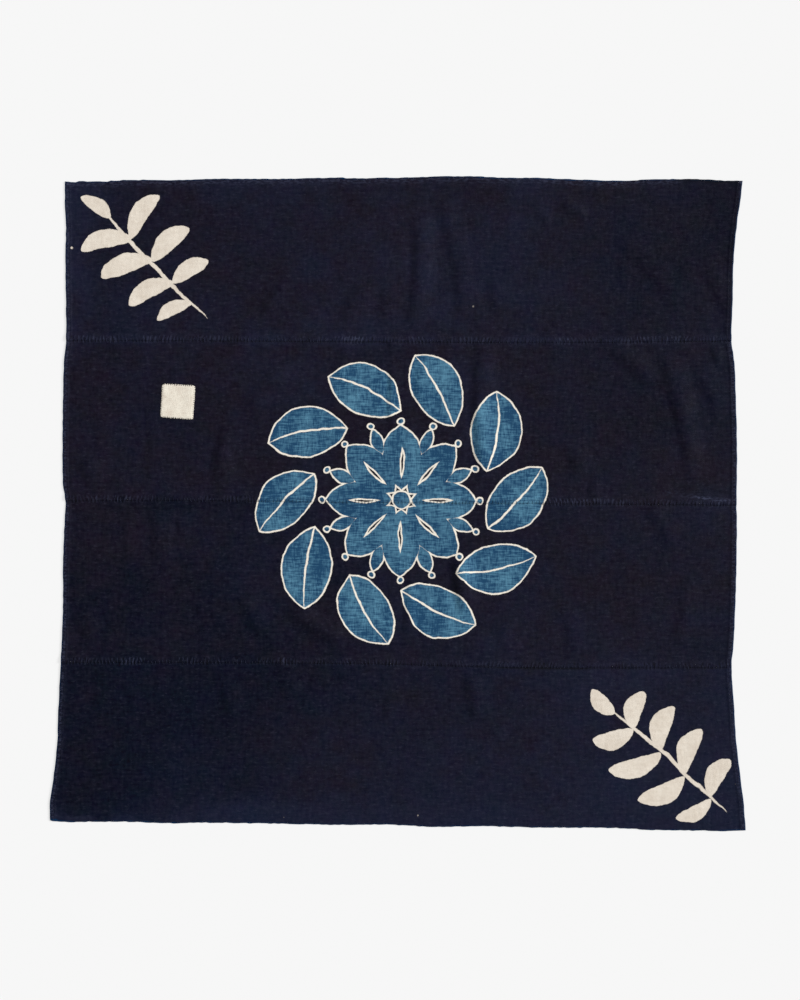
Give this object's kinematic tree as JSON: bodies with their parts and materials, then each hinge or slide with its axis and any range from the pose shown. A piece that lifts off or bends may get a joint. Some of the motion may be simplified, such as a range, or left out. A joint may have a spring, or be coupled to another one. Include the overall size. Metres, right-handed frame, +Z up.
{
  "type": "furoshiki wrapping cloth",
  "caption": "Square indigo cotton wrapping cloth, sewn from narrow loom widths with hemmed ends and a small blank patch, lying open and flat.",
  "frame": {"origin": "on the surface that the cloth lies on, under the middle of its outline", "axes": "+X along the loom widths, +Y from the fourth width towards the first, +Z up out of the face"},
  "size_m": [1.4181, 1.3343, 0.0061],
  "materials": {
    "indigo_cotton": "matte plain-weave cotton, dyed deep indigo, with paler blue and undyed figures",
    "patch_cotton": "matte undyed cotton"
  },
  "bodies": {
    "root": {"panel_1": "indigo_cotton", "panel_2": "indigo_cotton", "panel_3": "indigo_cotton", "panel_4": "indigo_cotton", "patch": "patch_cotton"}
  },
  "joints": []
}
